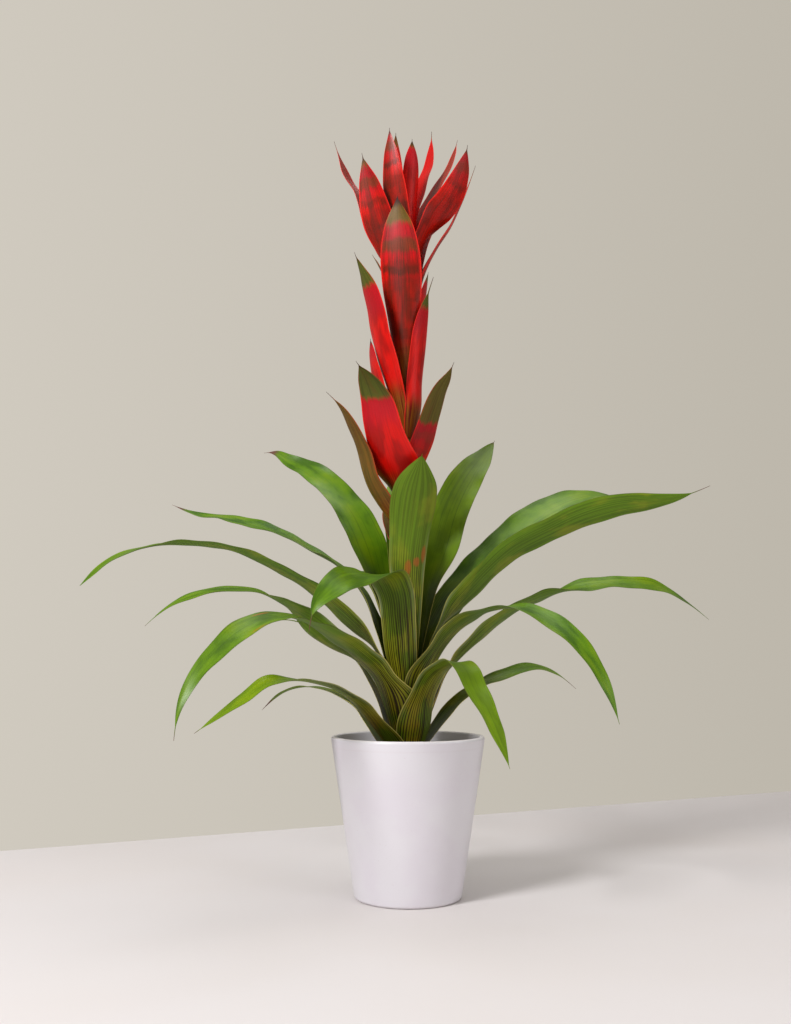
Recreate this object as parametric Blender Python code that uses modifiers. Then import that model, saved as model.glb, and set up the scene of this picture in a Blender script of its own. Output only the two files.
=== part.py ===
"""Potted bromeliad: a flowering bromeliad in a nursery pot, stood in a white ceramic cover pot.

Frame: metres, +Z up. The origin is on the pot's axis at the underside of its foot, -Y is the front.
Every leaf and bract is one strap laid along a centreline. Low down the strap is a sheath that wraps
the stem; further out it opens into a channelled blade. Lower leaves start outside the higher ones,
so the sheaths nest in one another without touching.
"""
import math
from collections import namedtuple

import bpy
import numpy as np

MM = 0.001

# ---- driving dimensions ----
POT_HEIGHT = 0.135
POT_RIM_DIAMETER = 0.1355
POT_FOOT_DIAMETER = 0.092
POT_WALL = 0.0045
POT_FLOOR = 0.006
PLANT_HEIGHT = 0.604        # from the potting mix to the tip of the tallest bract
LEAF_THICKNESS = 0.0008
STEM_BASE_DIAMETER = 0.025

# ---- fits ----
FIT = 0.0003                # between pieces that touch in the real plant
SHEATH_GAP = 0.00035        # between the stem and the inside of a leaf's or bract's foot
MIX_BELOW_RIM = 0.027       # top of the potting mix below the pot's rim
GROW_POT_GAP = 0.0025       # between the nursery pot's lip and the cover pot
GROW_POT_WALL = 0.0012
GROW_POT_BELOW_RIM = 0.014
STEM_DEPTH = 0.026          # how far the stem's foot sits in the potting mix

ROUND_STEPS = 40
MIX_TOP = POT_HEIGHT - MIX_BELOW_RIM

# ---- the plant's outline in millimetres, heights above the potting mix ----
# It is drawn for a plant of this height on a stem this thick, and grows with PLANT_HEIGHT.
DRAWN_HEIGHT = 0.604
DRAWN_STEM = 0.025
GROWTH = PLANT_HEIGHT / DRAWN_HEIGHT
# Stem profile: (height, share of the base radius), tapering from the crown into the flower stalk.
STEM = ((0, 1.0), (4, 1.0), (42, 0.80), (82, 0.54), (107, 0.45), (212, 0.40), (452, 0.30), (486, 0.20))

Strap = namedtuple("Strap", "azimuth attach width foot taper path roll")


def strap(azimuth, attach, width, path, foot=1.4, taper=4.5, roll=((0, 0), (1, 0))):
    """azimuth in degrees; attach and path heights, reaches and width in millimetres.

    path holds (reach, height) or (reach, height, swing in degrees) points from the axis outwards.
    foot is the sheath's width over the blade's, taper the bluntness of the tip, roll (share, degrees).
    """
    return Strap(azimuth, attach, width, foot, taper, path, roll)


# Leaves from the lowest and outermost to the highest and innermost.
LEAVES = (
    strap(145, 6, 13, ((28, 22), (38, 33), (54, 48), (70, 57), (94, 65), (120, 67), (146, 61),
                       (172, 44)), foot=2.2),
    strap(210, 9.5, 19, ((25, 27), (36, 41), (53, 57), (71, 68), (93, 74), (114, 76), (133.5, 74.5),
                         (154, 61.5), (173, 49.5), (194, 36)), foot=1.8,
          roll=((0, 10), (0.45, 5), (0.7, -25), (1, -35))),
    strap(25, 13, 17, ((20.5, 24), (32, 37.5), (49, 54), (72, 69), (102, 79.5), (131.5, 86),
                       (156, 79.5), (178, 65)), foot=1.5, roll=((0, 0), (0.4, 15), (0.7, 35), (1, 20))),
    strap(299, 16.5, 26, ((19, 34), (25, 57), (43, 78), (66, 88, 0.7), (80, 90.5, 1.2), (91, 85, 1.5),
                          (102.5, 70.5, 1.5), (119.5, 52.5, 1.5), (134, 34.5, 1.5), (147.5, 12, 1.5)),
          foot=1.3),
    strap(157, 20, 9, ((20, 37), (26.5, 55.5), (37.5, 75.5), (50.5, 92.5), (64.5, 106), (81, 116),
                       (101, 124.5), (123, 129.5), (142.5, 127)), foot=2.4),
    strap(226, 23.5, 29, ((18, 44), (32, 76), (62, 98.5), (92, 112.5), (120.5, 123), (142, 126.5),
                          (165, 122.5), (185, 114), (206.5, 98.5), (225, 80), (237, 59), (241, 36.5)),
          foot=1.55, taper=4.5, roll=((0, 0), (0.3, 10), (0.5, -10), (0.7, -28), (1, -30))),
    strap(16, 27, 26, ((19, 43), (33.5, 77), (64.5, 109), (99, 135), (135, 150.5), (176.5, 161),
                       (217.5, 165), (249.5, 162.5), (277, 150.5), (306, 131)), foot=1.5,
          roll=((0, -10), (0.3, -35), (0.48, -25), (0.62, 30), (0.8, 45), (1, 30))),
    strap(200, 30.5, 23, ((17, 49), (25, 68.5), (40.5, 90.5), (67, 108.5), (97.5, 131), (118, 142.5),
                          (138, 150), (157.5, 151), (186.5, 146), (207, 137.5), (228, 120)), foot=1.5,
          roll=((0, 0), (0.25, 25), (0.42, 58), (0.55, 5), (0.7, -20), (1, -20))),
    strap(47, 34, 22, ((17, 54), (27, 89), (44, 120), (70, 146), (95, 168), (118, 186), (135, 196)),
          roll=((0, 0), (1, 30))),
    strap(325, 38.5, 26.5, ((16, 57), (23, 85), (39, 109), (65.5, 128), (91, 134.5), (113.5, 135),
                            (136, 126.5), (158, 111.5), (175.5, 92), (188, 69.5), (196.5, 44)), taper=4,
          roll=((0, 0), (0.35, -8), (0.45, 0), (0.65, 25), (1, 30))),
    strap(180, 41, 24, ((16, 60), (26.5, 97), (55.5, 129.5), (87, 155), (126, 177), (160.5, 191),
                        (194.5, 195), (229.5, 193.5), (264.5, 182), (293, 158)), foot=2.5, taper=7,
          roll=((0, 20), (0.2, 42), (0.35, 30), (0.5, 16), (0.7, 5), (1, -46))),
    strap(86, 44, 22, ((16, 62), (22, 84), (33, 108), (54, 128), (86, 140), (112, 142), (132, 134)),
          foot=1.0),
    strap(93, 47.5, 28, ((14.5, 64), (20, 84), (27, 107), (52, 152), (100, 197), (150, 217), (196, 214),
                         (236, 194), (262, 169)), foot=1.3),
    strap(354, 51, 26.5, ((14, 67), (29, 120), (60, 157.5), (96, 190), (128, 206.5), (159, 220),
                          (189.5, 228), (220, 231), (246, 236), (267, 244)), taper=7,
          roll=((0, -15), (0.3, -38), (0.5, -46), (0.75, -62), (1, -62))),
    strap(155, 52.5, 24, ((14, 67), (19.5, 90), (29, 120), (46, 153), (68.5, 176.5), (98.5, 193.5),
                          (124, 208), (163.5, 222), (203.5, 232), (221.5, 234), (240, 239.5),
                          (262, 248)), foot=1.7,
          roll=((0, 10), (0.3, 15), (0.5, 0), (0.72, -26), (0.9, -24), (1, -15))),
    strap(249, 56, 42, ((12.5, 72), (20, 97), (27, 127), (33, 149, -1), (43, 160.5, -4),
                        (76, 161.5, -8), (113, 150.5, -11), (129, 134, -14), (133.5, 113.5, -15)),
          foot=1.1, taper=5, roll=((0, 0), (0.5, 0), (0.75, -30), (1, -30))),
    strap(118, 58, 27, ((14.5, 76), (23.5, 112), (43, 150), (70, 170), (98, 178), (118, 172)),
          foot=1.2),
    strap(30, 62, 41, ((12, 81), (19, 104), (33, 131), (66.5, 168.5), (115, 208), (158.5, 237),
                       (198, 253), (234, 259), (258, 256)), foot=0.9, taper=6,
          roll=((0, 0), (0.3, 8), (0.7, 32), (1, 30))),
    strap(145, 64.5, 43, ((12.5, 84), (20, 120), (30.5, 155.5), (47, 201.5), (64.5, 231), (87.5, 255),
                          (115, 275.5), (142, 288), (161, 298), (176, 299.5)), foot=0.95, taper=2.6,
          roll=((0, 0), (0.3, -25), (0.6, -30), (0.8, -50), (0.92, -75), (1, -10))),
    strap(48, 70, 38, ((11, 89), (18, 122.5), (27, 154.5), (44.5, 192), (64, 235.5), (92, 272),
                       (112.5, 291.5), (134.5, 312)), foot=0.85, taper=7,
          roll=((0, 0), (0.4, 25), (0.8, 35), (1, 35))),
    strap(266, 73.5, 54, ((11, 95), (16, 132), (22, 177, 3), (31, 217, 11), (44, 248, 15),
                          (54, 267.5, 17)), foot=0.93, taper=8),
    strap(100, 77.5, 40, ((10.3, 101), (16, 142), (26, 192), (42, 232), (62, 260), (80, 270)),
          foot=1.0),
)

# Bracts up the flower stalk, from the lowest to the highest.
BRACTS = (
    strap(112, 120, 26, ((12, 150), (17, 178), (23, 202))),
    strap(50, 142, 26, ((12, 170), (19, 198), (30, 224))),
    strap(127, 160, 27, ((11, 184), (22, 212), (35, 236))),
    strap(203, 205, 31, ((21, 224), (37, 250), (45, 277), (53, 295), (63.5, 314), (78.5, 328))),
    strap(241, 223, 41, ((16, 247), (34, 271), (48.5, 294.5), (59.5, 317), (76, 333), (91, 341.5)),
          foot=1.8),
    strap(307, 241, 24, ((14, 265), (26.5, 290), (37.5, 311.5), (48.5, 328.5), (59.5, 339.5),
                         (66.5, 348.5))),
    strap(172, 270, 35, ((13, 296), (22, 327.5), (30.5, 353.5), (34.5, 388.5)),
          roll=((0, 0), (0.4, 22), (1, 30))),
    strap(104, 284, 19, ((11, 310), (13.5, 340), (16.5, 368), (19.5, 390))),
    strap(206, 300, 40, ((15, 330), (23, 357), (30, 384), (34.5, 410), (42, 433.5), (54, 461)),
          foot=1.25),
    strap(311, 292, 24, ((12.5, 320), (13.5, 344), (17, 372), (21, 398), (27, 418), (36, 436)),
          foot=1.45),
    strap(253, 330, 51, ((11, 357), (16, 392), (22, 432), (28, 472), (32, 512)), foot=1.5),
    strap(350, 344, 34, ((10, 370), (14, 400), (17, 425), (20, 450))),
    strap(90, 358, 40, ((10, 387), (17, 422), (28, 452), (40, 470))),
    strap(165, 373, 34, ((9, 400), (16, 432), (26, 457), (34, 472))),
    strap(12, 386, 26, ((9, 412), (15.5, 446.5), (29.5, 477.5), (41.5, 497), (53, 523), (68, 564.5))),
    strap(213, 399, 34, ((9, 425), (16.5, 448), (27, 479.5), (35.5, 503.5), (43, 530), (50, 555.5)),
          roll=((0, 0), (0.35, 15), (0.6, 45), (1, 45))),
    strap(47, 409, 26, ((11, 437), (21, 482), (35, 512), (46, 532))),
    strap(142, 418, 28, ((8.5, 440), (30, 474), (46, 511, 2), (56, 541.5, 5), (66.5, 559, 8),
                         (72.5, 578, 11), (79, 600, 13))),
    strap(340, 427, 32, ((10, 450), (15, 477), (28, 499.5), (43.5, 517.5), (53.5, 538.5), (60, 567)),
          roll=((0, 0), (0.35, -12), (0.6, -35), (1, -35))),
    strap(238, 435, 31, ((9, 460), (18, 501), (27.5, 540), (31, 581)), taper=4.5),
    strap(25, 442, 38, ((9, 465), (18, 508), (32, 537.5), (46, 565), (55, 595.5))),
    strap(120, 449, 20, ((9, 473), (15, 513.5), (20.5, 557), (21, 600.5))),
    strap(290, 456, 26, ((8, 478), (9.5, 517.5), (13.5, 552.5), (14, 577))),
    strap(42, 463, 20, ((7, 488), (10.5, 511), (17, 530), (22.5, 550.5), (28.5, 565.5), (32, 584.5),
                        (33, 604))),
)

LEAF_RINGS, LEAF_STRIPS = 15, 4
BRACT_RINGS, BRACT_STRIPS = 9, 3
LEAF_OPEN = (26, 48)        # reach over which a leaf turns from a wrapping sheath to a blade
BRACT_OPEN = (14, 34)
LEAF_WRAP = 60              # most that a sheath wraps to each side, degrees
BRACT_WRAP = 72
TIP_HALF_WIDTH = 0.7        # millimetres


def stem_radius(height, base_diameter=STEM_BASE_DIAMETER / GROWTH):
    """Radius of the stem in the outline's millimetres, at heights above the potting mix."""
    heights, shares = zip(*STEM)
    return base_diameter / 2 / MM * np.interp(height, heights, shares)


def smoothstep(t):
    t = np.clip(t, 0.0, 1.0)
    return t * t * (3.0 - 2.0 * t)


def centreline(points, rings):
    """Reach, swing and height at the rings of a strap, on a smooth curve through the points.

    The rings are closer together near the stem, where the strap wraps it.
    Returns the share of the length at each ring, the length, and the three rows of values.
    """
    p = np.array(points, float)
    gap = np.hypot(np.diff(p[:, 0]), np.diff(p[:, 2]))[:, None]
    slope = np.diff(p, axis=0) / gap
    tangent = np.empty_like(p)
    tangent[1:-1] = (slope[:-1] * gap[1:] + slope[1:] * gap[:-1]) / (gap[:-1] + gap[1:])
    tangent[0] = 1.5 * slope[0] - 0.5 * tangent[1]
    tangent[-1] = 1.5 * slope[-1] - 0.5 * tangent[-2]
    knots = np.concatenate([[0.0], np.cumsum(gap)])
    t = np.linspace(0.0, knots[-1], 400)
    i = np.clip(np.searchsorted(knots, t, "right") - 1, 0, len(gap) - 1)
    u = ((t - knots[i]) / gap[i, 0])[:, None]
    fine = ((2 * u**3 - 3 * u**2 + 1) * p[i] + (u**3 - 2 * u**2 + u) * gap[i] * tangent[i]
            + (3 * u**2 - 2 * u**3) * p[i + 1] + (u**3 - u**2) * gap[i] * tangent[i + 1])
    angle = np.radians(fine[:, 1])
    xyz = np.stack([fine[:, 0] * np.cos(angle), fine[:, 0] * np.sin(angle), fine[:, 2]], 1)
    run = np.concatenate([[0.0], np.cumsum(np.linalg.norm(np.diff(xyz, axis=0), axis=1))])
    share = np.linspace(0.0, 1.0, rings) ** 1.25
    return share, run[-1], [np.interp(share * run[-1], run, fine[:, k]) for k in range(3)]


def strap_surface(item, rings, strips, opening, wrap_limit):
    """Grid of points (rings, strips + 1, xyz) in millimetres over the middle surface of a strap.

    At reach r a sheath point lies at angle azimuth + v * w / r around the axis, v from -1 to 1 and w
    the half width. A blade point lies on an arc across the centreline, turned by the roll about it.
    The surface passes from the first to the second while the reach grows through the opening. A
    thicker stem moves the whole path out by as much as it grew at that height.
    """
    seat = (LEAF_THICKNESS / 2 + SHEATH_GAP) / MM / GROWTH
    start = (float(stem_radius(item.attach)) + seat, 0.0, item.attach)
    rest = [(q[0] + float(stem_radius(q[1]) - stem_radius(q[1], DRAWN_STEM)),
             q[2] if len(q) > 2 else 0.0, q[1]) for q in item.path]
    share, length, (reach, swing, height) = centreline([start] + rest, rings)

    foot = 1.0 + (item.foot - 1.0) * (1.0 - smoothstep(share * length / 80.0))
    half = np.maximum(0.5 * item.width * foot * (1.0 - share**item.taper)**0.85, TIP_HALF_WIDTH)

    angle = np.radians(item.azimuth + swing)
    spine = np.stack([reach * np.cos(angle), reach * np.sin(angle), height], 1)
    along = np.gradient(spine, share * length, axis=0)
    along /= np.linalg.norm(along, axis=1)[:, None]
    side = np.stack([-np.sin(angle), np.cos(angle), 0 * angle], 1)
    side -= (side * along).sum(1)[:, None] * along
    side /= np.linalg.norm(side, axis=1)[:, None]
    face = np.cross(along, side)
    roll = np.radians(np.interp(share, *zip(*item.roll)))[:, None]
    side, face = side * np.cos(roll) + face * np.sin(roll), face * np.cos(roll) - side * np.sin(roll)

    v = np.linspace(-1.0, 1.0, strips + 1)[None, :]
    sagitta = np.interp(share, (0.0, 0.3, 0.6, 1.0), (0.16, 0.12, 0.08, 0.05))
    bend = (4.0 * sagitta / half)[:, None]
    turn = v * half[:, None] * bend
    blade = (spine[:, None] + side[:, None] * (np.sin(turn) / bend)[..., None]
             + face[:, None] * ((1.0 - np.cos(turn)) / bend)[..., None])

    spread = half / reach
    spread = spread / np.sqrt(1.0 + (spread / math.radians(wrap_limit))**2)
    around = angle[:, None] + v * spread[:, None]
    corner = (reach / np.cos(spread / strips))[:, None]     # the middle of each flat is at the reach
    sheath = np.stack([corner * np.cos(around), corner * np.sin(around), height[:, None] + 0 * v], -1)
    mix = np.maximum.accumulate(smoothstep((reach - opening[0]) / (opening[1] - opening[0])))
    return sheath + (blade - sheath) * mix[:, None, None]


# ---- scene helpers ----
def clear_scene():
    for obj in list(bpy.data.objects):
        bpy.data.objects.remove(obj, do_unlink=True)


def new_collection(name):
    collection = bpy.data.collections.new(name)
    bpy.context.scene.collection.children.link(collection)
    return collection


def new_material(name, colour, roughness, metallic=0.0):
    material = bpy.data.materials.new(name)
    material.use_nodes = True
    shader = material.node_tree.nodes["Principled BSDF"]
    shader.inputs["Base Color"].default_value = (*colour, 1.0)
    shader.inputs["Roughness"].default_value = roughness
    shader.inputs["Metallic"].default_value = metallic
    material.diffuse_color = (*colour, 1.0)
    return material


def new_object(name, vertices, edges, faces, material, collection):
    mesh = bpy.data.meshes.new(name)
    mesh.from_pydata(vertices, edges, faces)
    mesh.update()
    if material:
        mesh.materials.append(material)
    obj = bpy.data.objects.new(name, mesh)
    collection.objects.link(obj)
    return obj


def apply_modifiers(obj):
    bpy.context.view_layer.update()
    evaluated = obj.evaluated_get(bpy.context.evaluated_depsgraph_get())
    mesh = bpy.data.meshes.new_from_object(evaluated)
    obj.modifiers.clear()
    obj.data = mesh


def lathe(name, profile, material, collection, steps=ROUND_STEPS):
    """Turn a profile of (radius, height) about Z. It starts and ends on the axis, outer side first."""
    points = [(r, 0.0, z) for r, z in profile]
    edges = [(i, i + 1) for i in range(len(points) - 1)]
    obj = new_object(name, points, edges, [], material, collection)
    screw = obj.modifiers.new("Turn", "SCREW")
    screw.steps = steps
    screw.render_steps = steps
    screw.use_merge_vertices = True
    screw.merge_threshold = 0.00001
    apply_modifiers(obj)
    obj.data.shade_smooth()
    obj.data.set_sharp_from_angle(angle=math.radians(40))
    return obj


def rounded(points, radii, steps=3):
    """The points of an open profile, with each inner corner replaced by an arc of its own radius."""
    out = [points[0]]
    for before, corner, after, radius in zip(points, points[1:], points[2:], radii):
        a = np.subtract(before, corner)
        b = np.subtract(after, corner)
        a /= np.linalg.norm(a)
        b /= np.linalg.norm(b)
        half_angle = 0.5 * math.acos(float(np.clip(a @ b, -1.0, 1.0)))
        if radius <= 0.0:
            out.append(tuple(corner))
            continue
        centre = np.array(corner) + (a + b) / np.linalg.norm(a + b) * radius / math.sin(half_angle)
        first = np.array(corner) + a * radius / math.tan(half_angle) - centre
        last = np.array(corner) + b * radius / math.tan(half_angle) - centre
        for k in range(steps + 1):
            arm = first * (steps - k) / steps + last * k / steps
            out.append(tuple(centre + arm / np.linalg.norm(arm) * radius))
    out.append(points[-1])
    return out


def build_strap(name, item, rings, strips, opening, wrap_limit, material, collection):
    """One leaf or bract: the middle surface, given its thickness half to each side."""
    grid = strap_surface(item, rings, strips, opening, wrap_limit) * MM * GROWTH
    grid[..., 2] += MIX_TOP
    row = strips + 1
    faces = [(k, k + 1, k + row + 1, k + row)
             for ring in range(rings - 1) for k in range(ring * row, ring * row + strips)]
    obj = new_object(name, grid.reshape(-1, 3).tolist(), [], faces, material, collection)
    solidify = obj.modifiers.new("Thickness", "SOLIDIFY")
    solidify.thickness = LEAF_THICKNESS
    solidify.offset = 0.0
    apply_modifiers(obj)
    obj.data.shade_smooth()
    obj.data.set_sharp_from_angle(angle=math.radians(40))
    return obj


# ---- the pots and the potting mix ----
def wall_radius(height):
    """Outer radius of the cover pot at a height: a straight taper from foot to rim."""
    return (POT_FOOT_DIAMETER + (POT_RIM_DIAMETER - POT_FOOT_DIAMETER) * height / POT_HEIGHT) / 2


def build_cover_pot(material, collection):
    inner_rim = POT_RIM_DIAMETER / 2 - POT_WALL
    inner_foot = wall_radius(POT_FLOOR) - POT_WALL
    profile = [(0.0, POT_FLOOR), (inner_foot, POT_FLOOR), (inner_rim, POT_HEIGHT),
               (POT_RIM_DIAMETER / 2, POT_HEIGHT), (POT_FOOT_DIAMETER / 2, 0.0), (0.0, 0.0)]
    radii = (0.004, 0.46 * POT_WALL, 0.46 * POT_WALL, 0.003)
    return lathe("cover_pot", rounded(profile, radii), material, collection)


def grow_pot_sizes():
    """Foot radius, top radius, lip height of the nursery pot, which hangs clear of the cover pot."""
    foot = wall_radius(POT_FLOOR) - POT_WALL - GROW_POT_GAP - 0.002
    top = wall_radius(POT_HEIGHT - GROW_POT_BELOW_RIM) - POT_WALL - GROW_POT_GAP
    return foot, top, POT_HEIGHT - GROW_POT_BELOW_RIM


def build_grow_pot(material, collection, cutters):
    foot, top, lip = grow_pot_sizes()
    base = POT_FLOOR + FIT
    roll_out = 0.0025
    roll_down = 0.006
    inner = top - roll_out - GROW_POT_WALL
    below = (lip - roll_down - base) / (lip - base)
    neck = foot + (top - roll_out - foot) * below
    profile = [(0.0, base + GROW_POT_WALL), (foot - GROW_POT_WALL, base + GROW_POT_WALL), (inner, lip),
               (top, lip), (top, lip - roll_down), (top - 0.001, lip - roll_down),
               (top - 0.001, lip - 0.0012), (top - roll_out, lip - 0.0012), (neck, lip - roll_down),
               (foot, base), (0.0, base)]
    pot = lathe("grow_pot", profile, material, collection, steps=32)

    # Six drainage holes in the floor, on a ring that leaves the middle whole.
    for k in range(6):
        angle = 2 * math.pi * k / 6
        ring = [(0.005 * math.cos(a), 0.005 * math.sin(a)) for a in np.linspace(0, 2 * math.pi, 13)[:-1]]
        x, y = 0.6 * foot * math.cos(angle), 0.6 * foot * math.sin(angle)
        low = [(x + u, y + v, base - 0.002) for u, v in ring]
        high = [(x + u, y + v, base + 0.004) for u, v in ring]
        n = len(ring)
        faces = [tuple(reversed(range(n))), tuple(range(n, 2 * n))]
        faces += [(i, (i + 1) % n, n + (i + 1) % n, n + i) for i in range(n)]
        cutter = new_object("drain_cutter_%d" % (k + 1), low + high, [], faces, None, cutters)
        cutter.hide_render = True
        cutter.display_type = "WIRE"
        cut = pot.modifiers.new("Drain", "BOOLEAN")
        cut.operation = "DIFFERENCE"
        cut.solver = "EXACT"
        cut.object = cutter
    apply_modifiers(pot)
    return pot


def build_potting_mix(material, collection):
    """The root ball: fills the nursery pot, slightly dished, with a socket for the stem's foot."""
    foot, top, lip = grow_pot_sizes()
    base = POT_FLOOR + 2 * FIT + GROW_POT_WALL
    inner_foot = foot - GROW_POT_WALL - 2 * FIT
    inner_top = top - 0.0025 - GROW_POT_WALL - 2 * FIT
    at_top = inner_foot + (inner_top - inner_foot) * (MIX_TOP - 0.003 - base) / (lip - base)
    socket = STEM_BASE_DIAMETER / 2 + FIT
    profile = [(0.0, MIX_TOP - STEM_DEPTH - FIT), (0.7 * socket, MIX_TOP - STEM_DEPTH - FIT),
               (socket, MIX_TOP - 0.6 * STEM_DEPTH), (socket, MIX_TOP - 0.0015), (socket + 0.002, MIX_TOP),
               (0.6 * at_top, MIX_TOP), (at_top, MIX_TOP - 0.003), (inner_foot, base), (0.0, base)]
    return lathe("potting_mix", profile, material, collection, steps=32)


def build_stem(material, collection):
    """Crown and flower stalk in one: a blunt foot in the mix, then a taper up through the bracts."""
    radius = STEM_BASE_DIAMETER / 2
    profile = [(0.0, MIX_TOP + (STEM[-1][0] + 2) * MM * GROWTH)]
    for height, share in reversed(STEM):
        profile.append((radius * share, MIX_TOP + height * MM * GROWTH))
    profile += [(radius, MIX_TOP - 0.6 * STEM_DEPTH), (0.7 * radius, MIX_TOP - STEM_DEPTH),
                (0.0, MIX_TOP - STEM_DEPTH)]
    return lathe("stem", profile, material, collection, steps=20)


def main():
    clear_scene()
    plant = new_collection("potted_bromeliad")
    cutters = new_collection("cutters")
    white_glaze = new_material("white_glaze", (0.80, 0.78, 0.80), 0.25)
    nursery_plastic = new_material("nursery_plastic", (0.03, 0.03, 0.03), 0.55)
    mix = new_material("peat_and_bark", (0.07, 0.045, 0.03), 0.95)
    leaf_green = new_material("leaf_green", (0.12, 0.25, 0.04), 0.4)
    bract_red = new_material("bract_red", (0.55, 0.03, 0.02), 0.4)
    stem_green = new_material("stem_green", (0.25, 0.30, 0.10), 0.5)

    build_cover_pot(white_glaze, plant)
    build_grow_pot(nursery_plastic, plant, cutters)
    build_potting_mix(mix, plant)
    build_stem(stem_green, plant)
    for k, item in enumerate(LEAVES):
        build_strap("leaf_%02d" % (k + 1), item, LEAF_RINGS, LEAF_STRIPS, LEAF_OPEN, LEAF_WRAP,
                    leaf_green, plant)
    for k, item in enumerate(BRACTS):
        item = item._replace(foot=1.0)
        build_strap("bract_%02d" % (k + 1), item, BRACT_RINGS, BRACT_STRIPS, BRACT_OPEN, BRACT_WRAP,
                    bract_red, plant)


main()
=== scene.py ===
"""Potted bromeliad: leaves, bracts, stalk, potting mix and two pots, with their finishes and a studio.

Each leaf and bract is one strap laid along a centreline: low down a sheath that wraps the stalk,
further out a channelled blade with a thin edge. The origin is on the pot's axis, under its foot.
"""
import math
from collections import namedtuple

import bpy
import numpy as np
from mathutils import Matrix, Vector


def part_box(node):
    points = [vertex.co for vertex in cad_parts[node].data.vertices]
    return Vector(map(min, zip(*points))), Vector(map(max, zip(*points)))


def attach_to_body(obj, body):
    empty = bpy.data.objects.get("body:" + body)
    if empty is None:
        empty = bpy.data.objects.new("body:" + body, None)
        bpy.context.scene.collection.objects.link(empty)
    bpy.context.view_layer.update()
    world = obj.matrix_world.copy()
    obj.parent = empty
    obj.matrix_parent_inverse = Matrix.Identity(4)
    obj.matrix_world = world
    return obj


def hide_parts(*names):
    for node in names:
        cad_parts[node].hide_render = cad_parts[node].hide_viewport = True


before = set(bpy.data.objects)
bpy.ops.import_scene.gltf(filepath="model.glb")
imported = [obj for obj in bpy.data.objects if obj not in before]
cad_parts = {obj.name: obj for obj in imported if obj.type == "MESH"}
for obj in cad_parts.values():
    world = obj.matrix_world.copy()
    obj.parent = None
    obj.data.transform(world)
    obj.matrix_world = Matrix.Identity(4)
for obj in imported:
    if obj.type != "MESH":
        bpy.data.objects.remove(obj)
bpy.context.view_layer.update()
POT_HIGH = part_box("cover_pot")[1]
MIX_LOW, MIX_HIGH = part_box("potting_mix")
STEM_LOW, STEM_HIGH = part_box("stem")

bl_info = {
    "name": "Potted Bromeliad",
    "version": (1, 0, 0),
    "blender": (4, 5, 0),
    "location": "View3D > Sidebar > Bromeliad",
    "description": "Makes a flowering bromeliad in a nursery pot inside a glazed cover pot",
    "category": "Add Mesh",
}

MM = 0.001
BODY = "root"
MIX_TOP = MIX_HIGH.z
TURN_STEPS = 144            # points round a turned piece
FOLD = 50.0                 # degrees past which an edge of a strap, stalk or crumb stays sharp
BASE_PLATE = 0.006          # thickness of the cover pot's floor
FOOT_RING = 0.007           # width of the ring that the cover pot stands on
FOOT_RECESS = 0.0009        # depth of the hollow inside that ring
SEAT_GAP = 0.75             # mm from the stalk's skin to the middle of a sheath
FOOT_FADE = 80.0            # mm over which a sheath narrows to its blade's width
RIPPLES = (11.0, 5.3)       # mm that turn a margin's long and short waves by one radian
MARGIN = 0.35               # thickness left at a strap's margin and at its tip


# ---- the plant's outline, millimetres above the potting mix ----
Strap = namedtuple("Strap", "azimuth attach width tone path foot taper roll thread clasp")


def strap(azimuth, attach, width, tone, path, foot=1.4, taper=4.5, roll=((0, 0), (1, 0)),
          thread=0.015, clasp=(1, 1, 20, 60)):
    """azimuth in degrees; attach and path heights, reaches and width in millimetres.

    path holds (reach, height) or (reach, height, swing in degrees) points from the axis outwards.
    foot is the sheath's width over the blade's, taper the bluntness of the tip, roll (share, degrees)
    and thread the share of the length that is a dry thread at the tip. clasp widens the sheath's
    margins (left, right) where it holds the crown, fading between two lengths from the foot. tone
    says how a leaf is coloured: warm foot, yellow blade, dry end; or a bract: where green starts,
    dull, olive inside.
    """
    return Strap(azimuth, attach, width, tone, path, foot, taper, roll, thread, clasp)


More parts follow.
